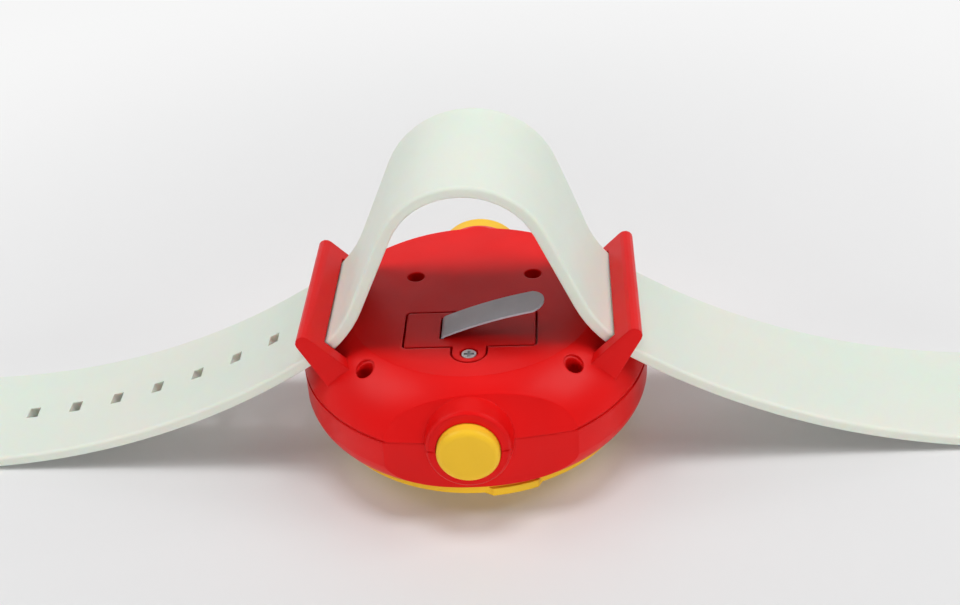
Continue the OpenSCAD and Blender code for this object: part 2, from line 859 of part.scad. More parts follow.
module lens_barrel() {
    color(yellow) difference() {
        turned_along_y(1) {
            rounded_outline(barrel_r, barrel_back, barrel_face, barrel_round);
            translate([0, flange_y]) square([barrel_r + barrel_flange_out, barrel_flange_t]);
        }
        y_rod(lens_r - lens_edge, barrel_back - cut, barrel_face);
        y_rod(lens_r + seat, barrel_face - lens_depth, barrel_face + cut);
    }
}

module projection_lens() {
    color(clear) intersection() {
        y_rod(lens_r, barrel_face - lens_depth, barrel_face);
        translate([0, barrel_face - lens_depth + lens_edge + lens_rise - lens_dome_r, part_z])
            sphere(lens_dome_r);
    }
}

module led() {
    color(pale) {
        y_rod(led_r, led_back, led_back + led_l);
        y_rod(led_flange_r, led_back, led_back + led_flange_t);
        translate([0, led_back + led_l, part_z]) sphere(led_r);
    }
}

module led_holder() {
    color(pale) translate([-led_holder_w / 2, led_holder_y, board_z + board_t])
        cube([led_holder_w, led_holder_d, part_z + led_holder_up - board_z - board_t]);
}

module circuit_board() {
    color(green) difference() {
        translate([0, 0, board_z]) cylinder(h = board_t, r = board_r);
        at_carrier_screws() translate([0, 0, board_z - cut])
            cylinder(h = board_t + cut + cut, r = post_r + seat);
    }
}

// Cells in a row, each with its smaller cap towards the spring contact
module button_cells() {
    color(steel) for (i = [0:cell_count - 1])
        translate([cells_start + i * (cell_t + seat), -door_y, cell_z]) rotate([0, 90, 0]) {
            cylinder(h = cell_t, r = cell_d / 2 * cell_cap_share);
            translate([0, 0, cell_cap_h]) cylinder(h = cell_t - cell_cap_h, r = cell_d / 2);
        }
}

// Plate against the well's end wall with a bowed leaf that presses on the pull tab
module spring_contact() {
    color(steel) xz_slab(-door_y - leaf_w / 2, -door_y + leaf_w / 2) {
        translate([leaf_root - plate_t, cell_z - leaf_r]) square([plate_t, 2 * leaf_r]);
        intersection() {
            translate([leaf_root, cell_z]) difference() {
                circle(leaf_r);
                circle(leaf_r - leaf_t);
            }
            translate([leaf_root - plate_t / 2, cell_z - leaf_r]) square(2 * leaf_r);
        }
    }
}

module plate_contact() {
    color(steel) {
        translate([well_x - seat - plate_t, -door_y - contact_w / 2, cell_z - contact_h / 2])
            cube([plate_t, contact_w, contact_h]);
        translate([cells_end + seat, -door_y, cell_z]) rotate([0, 90, 0])
            cylinder(h = well_x - seat * 2 - cells_end - plate_t / 2, r1 = contact_nub_r / 2,
                r2 = contact_nub_r);
    }
}

module battery_door() {
    color(red) difference() {
        translate([0, 0, door_seat_z + seat]) linear_extrude(door_t - seat) door_outline(-door_gap);
        translate([0, -door_screw_y, door_seat_z - cut])
            cylinder(h = door_t + cut + cut, r = shank_r + running);
        translate([0, -door_screw_y, door_screw_z]) cylinder(h = door_t, r = head_hole_r);
        translate([tab_x - tab_slot / 2, -tab_y - tab_w / 2 - tab_slot_spare, door_seat_z - cut])
            cube([tab_slot, tab_w + 2 * tab_slot_spare, door_t + cut + cut]);
    }
}

module door_screw() {
    color(steel) translate([0, -door_screw_y, 0])
        tapping_screw(door_screw_z, door_screw_head_r, door_screw_head_h, door_screw_l);
}

module pull_tab() {
    color(grey) intersection() {
        xz_slab(-tab_y - tab_w / 2, -tab_y + tab_w / 2) polygon(band(tab_points(), tab_t / 2));
        translate([0, -tab_y, 0]) linear_extrude(loop_z) {
            translate([tab_end_x - tab_w * tab_nose_share, 0]) circle(tab_w * tab_nose_share);
            translate([tab_x - tab_w, -tab_w])
                square([tab_end_x - tab_w * tab_nose_share - tab_x + tab_w, 2 * tab_w]);
        }
    }
}

module case_screws() {
    color(steel) at_case_screws() tapping_screw(part_z + seat_wall, case_head_r, head_h, case_screw_l);
}

module carrier_screws() {
    color(steel) at_carrier_screws()
        tapping_screw(carrier_post_top + seat_wall, head_r, head_h, carrier_screw_l);
}

module strap() {
    route = concat(mirrored(half_route(tip_x)), half_route(pin_x - barrel_end_in));
    color(mint) difference() {
        union() {
            intersection() {
                xz_slab(-strap_w / 2, strap_w / 2) polygon(band(route, strap_t / 2));
                union() {
                    translate([tip_r - tip_x, 0, -cut]) cylinder(h = loop_z, r = tip_r);
                    translate([tip_r - tip_x, -strap_w, -cut])
                        cube([tip_x + pin_x, 2 * strap_w, loop_z + case_r]);
                }
            }
            translate([pin_x, strap_w / 2, pin_z]) rotate([90, 0, 0])
                cylinder(h = strap_w, r = barrel_end_r);
        }
        translate([pin_x, strap_w, pin_z]) rotate([90, 0, 0])
            cylinder(h = 2 * strap_w, r = pin_r + seat);
        translate([pin_x - notch_l, -notch_w / 2, -cut])
            cube([2 * notch_l, notch_w, pin_z + barrel_end_r + cut + cut]);
        for (i = [0:hole_count - 1]) let (p = strap_point(hole_start + i * hole_pitch))
            translate([-p[0], 0, p[1]]) rotate([0, -p[2], 0])
            cube([hole_w, hole_w, 2 * strap_t], center = true);
    }
}

// Outline of one eye and arm of the buckle, in XZ about the pin
module buckle_arm_outline() {
    translate([pin_x, pin_z]) circle(eye_r);
    translate([pin_x + buckle_l, bar_z]) circle(bar_r);
    polygon([[pin_x, pin_z - arm_h / 2], [pin_x + buckle_l, bar_z - arm_h / 2],
        [pin_x + buckle_l, bar_z + arm_h / 2], [pin_x, pin_z + arm_h / 2]]);
}

module buckle_frame() {
    color(steel) difference() {
        union() {
            for (side = [-1, 1]) translate([0, side * (buckle_y + buckle_arm / 2), 0])
                xz_slab(-buckle_arm / 2, buckle_arm / 2) buckle_arm_outline();
            translate([pin_x + buckle_l, buckle_y + buckle_arm / 2, bar_z]) rotate([90, 0, 0])
                cylinder(h = 2 * buckle_y + buckle_arm, r = bar_r - seat);
        }
        translate([pin_x, strap_w, pin_z]) rotate([90, 0, 0])
            cylinder(h = 2 * strap_w, r = pin_r + running);
    }
}

module buckle_tongue() {
    color(steel) xz_slab(-tongue_w / 2, tongue_w / 2) difference() {
        union() {
            translate([pin_x, pin_z]) circle(tongue_eye_r);
            polygon([[pin_x, pin_z - tongue_eye_r * tongue_root_share],
                [pin_x + buckle_l, tongue_z - tongue_t],
                [pin_x + buckle_l + tongue_past, tongue_z - tongue_t / 2],
                [pin_x + buckle_l + tongue_past, tongue_z], [pin_x + buckle_l, tongue_z],
                [pin_x, pin_z + tongue_eye_r * tongue_root_share]]);
        }
        translate([pin_x, pin_z]) circle(pin_r + running);
    }
}

module buckle_pin() {
    color(steel) translate([pin_x, buckle_y + buckle_arm, pin_z]) rotate([90, 0, 0])
        cylinder(h = 2 * (buckle_y + buckle_arm), r = pin_r);
}

back_shell();
front_shell();
bezel_ring();
film_drum();
film_band();
front_window();
dial_plate();
dial_carrier();
push_button();
switch_plunger();
tact_switch();
switch_board();
lens_barrel();
projection_lens();
led();
led_holder();
circuit_board();
button_cells();
spring_contact();
plate_contact();
battery_door();
door_screw();
pull_tab();
case_screws();
carrier_screws();
strap();
buckle_frame();
buckle_tongue();
buckle_pin();
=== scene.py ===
import json
import math

import bmesh
import bpy
from mathutils import Matrix, Vector


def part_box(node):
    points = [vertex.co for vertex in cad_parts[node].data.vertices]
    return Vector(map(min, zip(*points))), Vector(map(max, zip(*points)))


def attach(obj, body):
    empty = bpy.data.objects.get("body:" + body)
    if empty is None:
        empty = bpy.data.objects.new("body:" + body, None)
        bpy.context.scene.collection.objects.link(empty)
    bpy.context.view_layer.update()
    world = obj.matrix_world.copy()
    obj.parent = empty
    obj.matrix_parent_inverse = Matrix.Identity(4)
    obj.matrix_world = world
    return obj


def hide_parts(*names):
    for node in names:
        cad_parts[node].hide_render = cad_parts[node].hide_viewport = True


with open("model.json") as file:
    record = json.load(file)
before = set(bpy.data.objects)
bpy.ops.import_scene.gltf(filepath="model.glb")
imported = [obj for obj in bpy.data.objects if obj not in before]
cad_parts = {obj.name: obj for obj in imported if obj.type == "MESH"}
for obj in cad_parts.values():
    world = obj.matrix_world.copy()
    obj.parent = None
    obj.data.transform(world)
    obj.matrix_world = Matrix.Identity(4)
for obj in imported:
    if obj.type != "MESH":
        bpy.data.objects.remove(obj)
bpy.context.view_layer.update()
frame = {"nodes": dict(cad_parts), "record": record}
nodes = frame["nodes"]

MM = 0.001

# Strap, in millimetres and radians: the route and sizes of the solid that it stands for,
# apart from the holes, which are shorter along the strap and longer across it
STRAP_W = 22.0
STRAP_T = 1.8
LOOP_R = 11.7
LOOP_SLOPE = math.radians(66)
LUG_SLOPE = math.radians(34.3)
BEND_R = 19.0
LUG_X = 22.5
LUG_Z = 19.6
TIP_FLAT = 13.0
TIP_R = 13.0
BUCKLE_FLAT = 9.0
HOLE_COUNT = 9
HOLE_START = 9.2
HOLE_PITCH = 7.2
HOLE_L = 1.8
HOLE_W = 2.4
PIN_Z = 2.1
BARREL_R = 1.9
NOTCH_W = 2.5
NOTCH_L = 2.8

# The strap's mesh: its steps, the rounding of its edges and the flare of its far edge
ROW_STEP = 1.5
TIP_STEPS = 14
BARREL_TURNS = [math.radians(a) for a in range(170, 5, -15)]
CUT_GAP = 1e-5
STRAP_ROUND = 0.5
STRAP_ROUND_STEPS = 3
HOLE_ROUND_SHARE = 0.24
HOLE_MARGIN = HOLE_L / 4
BARREL_ROUND_SHARE = 0.5
FLARE_OUT = 1.1
FLARE_SIDE = 0.7
FLARE_LINES = (2.8, 6.2, 9.2)

# Lengths along the strap's middle line from the top of the loop, and places on it
ARCH_END = LOOP_R * LOOP_SLOPE
LEG_END_X = LUG_X - BEND_R * (math.sin(LOOP_SLOPE) - math.sin(LUG_SLOPE))
LEG_END_Z = LUG_Z + BEND_R * (math.cos(LUG_SLOPE) - math.cos(LOOP_SLOPE))
LEG_L = (LEG_END_X - LOOP_R * math.sin(LOOP_SLOPE)) / math.cos(LOOP_SLOPE)
LOOP_TOP_Z = LEG_END_Z + LEG_L * math.sin(LOOP_SLOPE) + LOOP_R * (1 - math.cos(LOOP_SLOPE))
LEG_END = ARCH_END + LEG_L
BEND_END = LEG_END + BEND_R * (LOOP_SLOPE - LUG_SLOPE)
REACH_R = (LUG_Z - STRAP_T / 2) / (1 - math.cos(LUG_SLOPE))
REACH_END = BEND_END + REACH_R * LUG_SLOPE
REACH_X = LUG_X + REACH_R * math.sin(LUG_SLOPE)
TIP_END = REACH_END + TIP_FLAT
PIN_AT = REACH_END + BUCKLE_FLAT
HOLES = [-BEND_END - HOLE_START - i * HOLE_PITCH for i in range(HOLE_COUNT)]

# Hour numbers on the dial, in millimetres: height, half thickness and distance from the middle
NUMBER_H = 4.0
NUMBER_T = 0.08
NUMBER_R = 8.3

# The dial's raised marks, and the blur of their printed edge, in millimetres
DIAL_RELIEF = 0.3
PRINT_BLUR = 0.03

# Rounding of edges in millimetres, on CAD nodes that keep their shape
EDGE_ROUNDS = {
    "battery_door": 0.15,
    "lens_barrel": 0.15,
    "bezel_ring": 0.2,
    "push_button": 0.15,
    "door_screw": 0.05,
    "buckle_frame": 0.25,
    "buckle_tongue": 0.2,
}
EDGE_STEPS = 2
EDGE_ANGLE = math.radians(30)
WELD_GAP = 0.001

# Colours, the sizes of grain in millimetres, and the part of noise that ranges are stretched over
RED = (0.715, 0.005, 0.005)
YELLOW = (0.9, 0.54, 0.03)
DARK = (0.03, 0.03, 0.035)
DIAL_PALE = (0.85, 0.85, 0.8)
COLOR_DRIFT = 0.05
PLASTIC_GRAIN = 0.35
METAL_GRAIN = 0.4
NOISE_LOW = 0.3
NOISE_HIGH = 0.7
EDGE_SAMPLES = 6

# Camera fitted to the photograph, in millimetres and degrees
CAMERA_AT = (14.174, -177.457, 139.399)
CAMERA_PITCH = 33.601
CAMERA_YAW = -4.199
CAMERA_ROLL = -3.896
CAMERA_LENS = 53.68
CAMERA_CLIP = 10

# Floor and backdrop in millimetres: one sheet, bent up behind the object
FLOOR_REACH = 1200
FLOOR_DEPTH = 500
BACKDROP_H = 700
BACKDROP_BEND = 250
BACKDROP_STEPS = 12
FLOOR_NEAR = (0.76, 0.76, 0.763)
FLOOR_FAR = (0.93, 0.93, 0.93)
FADE_START = 55
FADE_END = 200
NEAR_SHARE = 0.1

# Even light from all round
WORLD_COLOR = (1, 0.99, 0.98)
WORLD_LIGHT = 0.04


# Mesh helpers

def new_piece(name, bm):
    """Turn a bmesh in millimetres into an object of the scene."""
    mesh = bpy.data.meshes.new(name)
    bm.to_mesh(mesh)
    bm.free()
    mesh.transform(Matrix.Scale(MM, 4))
    for face in mesh.polygons:
        face.use_smooth = True
    piece = bpy.data.objects.new(name, mesh)
    bpy.context.scene.collection.objects.link(piece)
    return piece


def soften(piece, width):
    """Round the sharp edges of a piece by a width in millimetres."""
    piece.modifiers.new("weld", "WELD").merge_threshold = WELD_GAP * MM
    bevel = piece.modifiers.new("bevel", "BEVEL")
    bevel.width = width * MM
    bevel.segments = EDGE_STEPS
    bevel.limit_method = "ANGLE"
    bevel.angle_limit = EDGE_ANGLE
    bevel.harden_normals = False
    piece.modifiers.new("normals", "WEIGHTED_NORMAL").keep_sharp = True


def spread(start, end, step):
    """Places from start to end, evenly spaced by about step, without the start."""
    count = max(1, round((end - start) / step))
    return [start + (end - start) * (i + 1) / count for i in range(count)]


# Strap

def strap_line(d):
    """The strap's middle line at a length d from the top of the loop: x, z and slope."""
    side = -1 if d < 0 else 1
    d = abs(d)
    if d < ARCH_END:
        a = d / LOOP_R
        x = LOOP_R * math.sin(a)
        z = LOOP_TOP_Z - LOOP_R * (1 - math.cos(a))
    elif d < LEG_END:
        a = LOOP_SLOPE
        x = LEG_END_X - (LEG_END - d) * math.cos(a)
        z = LEG_END_Z + (LEG_END - d) * math.sin(a)
    elif d < BEND_END:
        a = LOOP_SLOPE - (d - LEG_END) / BEND_R
        x = LEG_END_X + BEND_R * (math.sin(LOOP_SLOPE) - math.sin(a))
        z = LEG_END_Z - BEND_R * (math.cos(a) - math.cos(LOOP_SLOPE))
    elif d < REACH_END:
        a = LUG_SLOPE - (d - BEND_END) / REACH_R
        x = LUG_X + REACH_R * (math.sin(LUG_SLOPE) - math.sin(a))
        z = LUG_Z - REACH_R * (math.cos(a) - math.cos(LUG_SLOPE))
    else:
        a = 0.0
        x = REACH_X + d - REACH_END
        z = STRAP_T / 2
    return side * x, z, side * a


def strap_faces(d):
    """Heights of the strap's lower and upper face above its middle line.

    At the buckle's end they stand apart as a barrel round the pin.
    """
    lower, upper = -STRAP_T / 2, STRAP_T / 2
    along = d - PIN_AT
    if abs(along) < BARREL_R:
        rise = math.sqrt(BARREL_R ** 2 - along ** 2)
        middle = PIN_Z - STRAP_T / 2
        upper = max(upper, middle + rise)
        if along > -BARREL_R / 2:
            lower = middle - rise
    return lower, upper


def strap_flare(d, y):
    """How far the strap's far edge stands out from the loop, and leans to the buckle's side."""
    across = max(0.0, y / (STRAP_W / 2)) ** 2
    along = max(0.0, math.cos(math.pi / 2 * min(1.0, abs(d) / BEND_END)))
    share = across * along
    return FLARE_OUT * share, FLARE_SIDE * share


def by_hole(point, margin=0.0):
    """Whether a point of the flat strap is as far along it as a hole."""
    return any(abs(point.x - hole) < HOLE_L / 2 + margin for hole in HOLES)


def by_notch(point):
    """Whether a point of the flat strap is as far along it as the notch for the tongue."""
    return point.x > PIN_AT - NOTCH_L


def in_hole(point, margin=0.0):
    return abs(point.y) < HOLE_W / 2 + margin and by_hole(point, margin)


def in_notch(point):
    return abs(point.y) < NOTCH_W / 2 and by_notch(point)


def round_share(point):
    """The share of the strap's rounding that an edge at a point of the flat strap gets."""
    if in_hole(point, HOLE_MARGIN):
        return HOLE_ROUND_SHARE
    return BARREL_ROUND_SHARE if point.x > PIN_AT - NOTCH_L - ROW_STEP else 1.0


def cut(sheet, place, normal, wanted=None):
    """Cut a sheet's faces along a plane: all of them, or those whose middle is wanted."""
    faces = [f for f in sheet.faces if wanted is None or wanted(f.calc_center_median())]
    edges = list(dict.fromkeys(e for f in faces for e in f.edges))
    verts = list(dict.fromkeys(v for f in faces for v in f.verts))
    bmesh.ops.bisect_plane(sheet, geom=verts + edges + faces, plane_co=place, plane_no=normal,
                           dist=CUT_GAP)


def strap_sheet():
    """The strap laid flat as one sheet, with its length along x and its width along y."""
    half = STRAP_W / 2
    tip_middle = TIP_R - TIP_END
    tip_turn = math.asin(half / TIP_R)
    turns = [tip_turn * (1 - 2 * i / TIP_STEPS) for i in range(TIP_STEPS + 1)]
    tip = [(tip_middle - TIP_R * math.cos(a), TIP_R * math.sin(a)) for a in turns]
    barrel_rows = [PIN_AT + BARREL_R * math.cos(a) for a in BARREL_TURNS]
    end = barrel_rows[-1]

    sheet = bmesh.new()
    outline = tip + [(end, -half), (end, half)]
    sheet.faces.new([sheet.verts.new((d, y, 0)) for d, y in outline])

    hole_ends = [hole + s * HOLE_L / 2 for hole in HOLES for s in (-1, 1)]
    bends = [-BEND_END, -LEG_END, -ARCH_END, 0.0, ARCH_END, LEG_END, BEND_END, REACH_END]
    marks = sorted({tip[0][0], *hole_ends, *bends, PIN_AT - NOTCH_L, *barrel_rows})
    rows = [marks[0]]
    for a, b in zip(marks, marks[1:]):
        rows += spread(a, b, ROW_STEP)
    for d in rows[:-1]:
        cut(sheet, (d, 0, 0), (1, 0, 0))
    for y in FLARE_LINES:
        cut(sheet, (0, y, 0), (0, 1, 0))
    for side in (-1, 1):
        cut(sheet, (0, side * HOLE_W / 2, 0), (0, 1, 0), by_hole)
        cut(sheet, (0, side * NOTCH_W / 2, 0), (0, 1, 0), by_notch)

    middles = [(f, f.calc_center_median()) for f in sheet.faces]
    cut_away = [f for f, middle in middles if in_hole(middle) or in_notch(middle)]
    bmesh.ops.delete(sheet, geom=cut_away, context="FACES")
    return sheet


def bend_strap(sheet):
    """A closed band from the sheet, along the strap's route, with its rims weighted for a bevel."""
    band = bmesh.new()
    weight = band.edges.layers.float.new("bevel_weight_edge")
    pairs = {}
    for v in sheet.verts:
        x, z, slope = strap_line(v.co.x)
        out, lean = strap_flare(v.co.x, v.co.y)
        aside, up = math.sin(slope), math.cos(slope)
        heights = [face + out for face in strap_faces(v.co.x)]
        pairs[v] = [band.verts.new((x + lean + h * aside, v.co.y, z + h * up)) for h in heights]
    for face in sheet.faces:
        band.faces.new([pairs[v][1] for v in face.verts])
        band.faces.new([pairs[v][0] for v in reversed(face.verts)])
    for edge in sheet.edges:
        if edge.is_boundary:
            a, b = edge.verts
            band.faces.new((pairs[a][0], pairs[b][0], pairs[b][1], pairs[a][1]))
            middle = (a.co + b.co) / 2
            for side in (0, 1):
                rim = band.edges.get((pairs[a][side], pairs[b][side]))
                rim[weight] = round_share(middle)
    bmesh.ops.recalc_face_normals(band, faces=band.faces[:])
    return band


def build_strap():
    sheet = strap_sheet()
    strap = new_piece("strap_band", bend_strap(sheet))
    sheet.free()
    bevel = strap.modifiers.new("bevel", "BEVEL")
    bevel.width = STRAP_ROUND * MM
    bevel.segments = STRAP_ROUND_STEPS
    bevel.limit_method = "WEIGHT"
    bevel.use_clamp_overlap = False
    strap.modifiers.new("normals", "WEIGHTED_NORMAL").keep_sharp = True
    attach(strap, "case")
    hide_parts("strap")
    return strap


# Dial

def build_numbers(dial_z):
    """Raised hour numbers on the dial, read from the front with 12 towards the buckle."""
    face_down = Matrix(((0, 1, 0), (1, 0, 0), (0, 0, -1))).to_4x4()
    bm = bmesh.new()
    for hour in (3, 6, 9, 12):
        curve = bpy.data.curves.new("number", "FONT")
        curve.body = str(hour)
        curve.size = NUMBER_H
        curve.align_x = curve.align_y = "CENTER"
        curve.extrude = NUMBER_T
        text = bpy.data.objects.new("number", curve)
        bpy.context.scene.collection.objects.link(text)
        bpy.context.view_layer.update()
        depsgraph = bpy.context.evaluated_depsgraph_get()
        mesh = bpy.data.meshes.new_from_object(text.evaluated_get(depsgraph))
        bpy.data.objects.remove(text)
        turn = 2 * math.pi * hour / 12
        place = Vector((NUMBER_R * math.cos(turn), NUMBER_R * math.sin(turn), dial_z))
        mesh.transform(Matrix.Translation(place) @ face_down)
        bm.from_mesh(mesh)
        bpy.data.meshes.remove(mesh)
    numbers = new_piece("dial_numbers", bm)
    for face in numbers.data.polygons:
        face.use_smooth = False
    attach(numbers, "case")
    return numbers


# Materials

class Shader:
    """A node material with a Principled shader and short ways to add texture nodes."""

    def __init__(self, name, color, roughness, **inputs):
        self.material = bpy.data.materials.new(name)
        self.material.use_nodes = True
        self.tree = self.material.node_tree
        self.bsdf = self.tree.nodes["Principled BSDF"]
        self.bsdf.inputs["Base Color"].default_value = (*color, 1)
        self.bsdf.inputs["Roughness"].default_value = roughness
        for key, value in inputs.items():
            self.bsdf.inputs[key.replace("_", " ")].default_value = value
        self.place = self.node("ShaderNodeTexCoord").outputs["Object"]

    def node(self, kind, **settings):
        made = self.tree.nodes.new(kind)
        for key, value in settings.items():
            setattr(made, key, value)
        return made

    def link(self, a, b):
        self.tree.links.new(a, b)

    def noise(self, size, detail, roughness=0.5):
        """Noise whose features are about size millimetres across."""
        made = self.node("ShaderNodeTexNoise")
        made.inputs["Scale"].default_value = 1 / (size * MM)
        made.inputs["Detail"].default_value = detail
        made.inputs["Roughness"].default_value = roughness
        self.link(self.place, made.inputs["Vector"])
        return made.outputs["Fac"]

    def ramp(self, value, stops):
        """Turn a value into a colour by stops of value and colour."""
        made = self.node("ShaderNodeValToRGB")
        ramp = made.color_ramp
        while len(ramp.elements) < len(stops):
            ramp.elements.new(0.5)
        for element, (at, color) in zip(ramp.elements, stops):
            element.position = at
            element.color = (*color, 1)
        self.link(value, made.inputs["Fac"])
        return made.outputs["Color"]

    def span(self, noise, low, high):
        """Stretch the part of a noise where most of it lies over a range."""
        made = self.node("ShaderNodeMapRange")
        made.inputs["From Min"].default_value = NOISE_LOW
        made.inputs["From Max"].default_value = NOISE_HIGH
        made.inputs["To Min"].default_value = low
        made.inputs["To Max"].default_value = high
        self.link(noise, made.inputs["Value"])
        return made.outputs["Result"]

    def color(self, value):
        self.link(value, self.bsdf.inputs["Base Color"])

    def rough(self, value):
        self.link(value, self.bsdf.inputs["Roughness"])

    def bump(self, value, depth, strength, edge=0.0):
        """Bump of a depth, over edges that look rounded by a radius, both in millimetres."""
        made = self.node("ShaderNodeBump")
        if edge:
            rounded = self.node("ShaderNodeBevel", samples=EDGE_SAMPLES)
            rounded.inputs["Radius"].default_value = edge * MM
            self.link(rounded.outputs["Normal"], made.inputs["Normal"])
        made.inputs["Strength"].default_value = strength
        made.inputs["Distance"].default_value = depth * MM
        self.link(value, made.inputs["Height"])
        self.link(made.outputs["Normal"], self.bsdf.inputs["Normal"])


def moulded_plastic(name, color, roughness):
    """Satin moulded plastic: slight colour drift, uneven gloss and a fine spark-eroded grain."""
    shader = Shader(name, color, roughness, Specular_IOR_Level=0.16)
    darker = tuple(c * (1 - COLOR_DRIFT) for c in color)
    lighter = tuple(min(1.0, c * (1 + COLOR_DRIFT)) for c in color)
    drift = shader.noise(size=14, detail=2)
    shader.color(shader.ramp(drift, [(0.35, darker), (0.65, lighter)]))
    gloss = shader.noise(size=5, detail=4)
    shader.rough(shader.span(gloss, low=roughness - 0.05, high=roughness + 0.05))
    grain = shader.noise(size=PLASTIC_GRAIN, detail=4, roughness=0.6)
    shader.bump(grain, depth=0.012, strength=0.5, edge=0.3)
    return shader.material


def printed_dial(relief_z):
    """Pale dial whose raised marks and hands, below a height in millimetres, are printed dark."""
    shader = Shader("dial", DIAL_PALE, 0.6, Specular_IOR_Level=0.3)
    split = shader.node("ShaderNodeSeparateXYZ")
    shader.link(shader.place, split.inputs[0])
    height = shader.node("ShaderNodeMapRange")
    height.inputs["From Min"].default_value = (relief_z - PRINT_BLUR) * MM
    height.inputs["From Max"].default_value = (relief_z + PRINT_BLUR) * MM
    shader.link(split.outputs["Z"], height.inputs["Value"])
    shader.color(shader.ramp(height.outputs["Result"], [(0.0, DARK), (1.0, DIAL_PALE)]))
    shader.rough(shader.span(shader.noise(size=5, detail=4), low=0.5, high=0.65))
    grain = shader.noise(size=PLASTIC_GRAIN, detail=4, roughness=0.6)
    shader.bump(grain, depth=0.012, strength=0.5)
    return shader.material


def strap_rubber():
    """Pale greenish rubber that lets a little light in, with uneven gloss and a soft grain."""
    shader = Shader("strap_rubber", (0.7, 0.77, 0.69), 0.6, Subsurface_Weight=0.3,
                    Subsurface_Scale=0.003, Specular_IOR_Level=0.3)
    stops = [(0.35, (0.71, 0.8, 0.71)), (0.65, (0.76, 0.79, 0.71))]
    shader.color(shader.ramp(shader.noise(size=22, detail=2), stops))
    shader.rough(shader.span(shader.noise(size=3, detail=4), low=0.48, high=0.62))
    shader.bump(shader.noise(size=0.6, detail=5, roughness=0.6), depth=0.015, strength=0.5)
    return shader.material


def metal(name, color, roughness):
    """Metal with a fine uneven polish."""
    shader = Shader(name, color, roughness, Metallic=1.0)
    gloss = shader.noise(size=METAL_GRAIN, detail=5)
    shader.rough(shader.span(gloss, low=roughness - 0.06, high=roughness + 0.08))
    shader.bump(shader.noise(size=METAL_GRAIN, detail=5), depth=0.004, strength=0.4)
    return shader.material


def clear_plastic(name, color, roughness):
    """Clear plastic with slightly uneven polish."""
    shader = Shader(name, color, roughness, Transmission_Weight=1.0, IOR=1.49)
    gloss = shader.noise(size=6, detail=4)
    shader.rough(shader.span(gloss, low=roughness, high=roughness + 0.04))
    return shader.material


def printed_film():
    """Thin clear film, printed in blurred patches of blue, yellow and red."""
    shader = Shader("film", (0.2, 0.25, 0.35), 0.3, Transmission_Weight=0.6)
    stops = [(0.3, (0.05, 0.12, 0.4)), (0.5, (0.6, 0.5, 0.08)), (0.7, (0.5, 0.06, 0.1))]
    shader.color(shader.ramp(shader.noise(size=4, detail=1), stops))
    return shader.material


def circuit_board():
    """Green board with slightly raised lighter tracks."""
    shader = Shader("board", (0.02, 0.16, 0.06), 0.45)
    stops = [(0.48, (0.015, 0.13, 0.05)), (0.52, (0.03, 0.22, 0.09))]
    shader.color(shader.ramp(shader.noise(size=1.5, detail=1), stops))
    shader.bump(shader.noise(size=1.5, detail=1), depth=0.03, strength=0.6)
    return shader.material


def frosted_film():
    """Matt grey film of the pull tab, a little cloudy."""
    shader = Shader("grey_film", (0.38, 0.38, 0.4), 0.4)
    stops = [(0.3, (0.4, 0.425, 0.475)), (0.7, (0.48, 0.505, 0.56))]
    shader.color(shader.ramp(shader.noise(size=5, detail=3), stops))
    shader.bump(shader.noise(size=0.5, detail=3), depth=0.01, strength=0.5)
    return shader.material


def make_materials(dial_face):
    """One material for each slot of the record."""
    return {
        "red_plastic": moulded_plastic("red_plastic", RED, 0.36),
        "yellow_plastic": moulded_plastic("yellow_plastic", YELLOW, 0.34),
        "dark_plastic": moulded_plastic("dark_plastic", DARK, 0.5),
        "pale_plastic": moulded_plastic("pale_plastic", (0.8, 0.8, 0.78), 0.5),
        "dial": printed_dial(dial_face - DIAL_RELIEF / 2),
        "film": printed_film(),
        "clear_plastic": clear_plastic("clear_plastic", (0.95, 0.98, 0.98), 0.02),
        "led_epoxy": clear_plastic("led_epoxy", (0.95, 0.95, 0.9), 0.1),
        "board": circuit_board(),
        "steel": metal("steel", (0.55, 0.55, 0.56), 0.4),
        "polished_steel": metal("polished_steel", (0.46, 0.46, 0.475), 0.16),
        "spring_brass": metal("spring_brass", (0.75, 0.6, 0.3), 0.3),
        "grey_film": frosted_film(),
        "strap_rubber": strap_rubber(),
    }


def dress(piece, material):
    piece.data.materials.clear()
    piece.data.materials.append(material)


# Studio

def build_camera():
    pitch, yaw, roll = (math.radians(a) for a in (CAMERA_PITCH, CAMERA_YAW, CAMERA_ROLL))
    level = math.cos(pitch)
    ahead = Vector((math.sin(yaw) * level, math.cos(yaw) * level, -math.sin(pitch)))
    right = Vector((math.cos(yaw), -math.sin(yaw), 0))
    up = right.cross(ahead)
    across = math.cos(roll) * right + math.sin(roll) * up
    upward = -math.sin(roll) * right + math.cos(roll) * up
    turn = Matrix((across, upward, -ahead)).transposed().to_4x4()
    data = bpy.data.cameras.new("camera")
    data.lens = CAMERA_LENS
    data.clip_start = CAMERA_CLIP * MM
    camera = bpy.data.objects.new("camera", data)
    camera.matrix_world = Matrix.Translation(Vector(CAMERA_AT) * MM) @ turn
    bpy.context.scene.collection.objects.link(camera)
    bpy.context.scene.camera = camera


def area_light(name, place, target, size, power, glossy=True):
    """A soft lamp, placed and sized in metres, that reflections show only if glossy."""
    data = bpy.data.lights.new(name, "AREA")
    data.shape = "RECTANGLE"
    data.size, data.size_y = size
    data.energy = power
    light = bpy.data.objects.new(name, data)
    light.location = place
    light.visible_glossy = glossy
    light.rotation_mode = "QUATERNION"
    light.rotation_quaternion = (Vector(target) - Vector(place)).to_track_quat("-Z", "Y")
    bpy.context.scene.collection.objects.link(light)


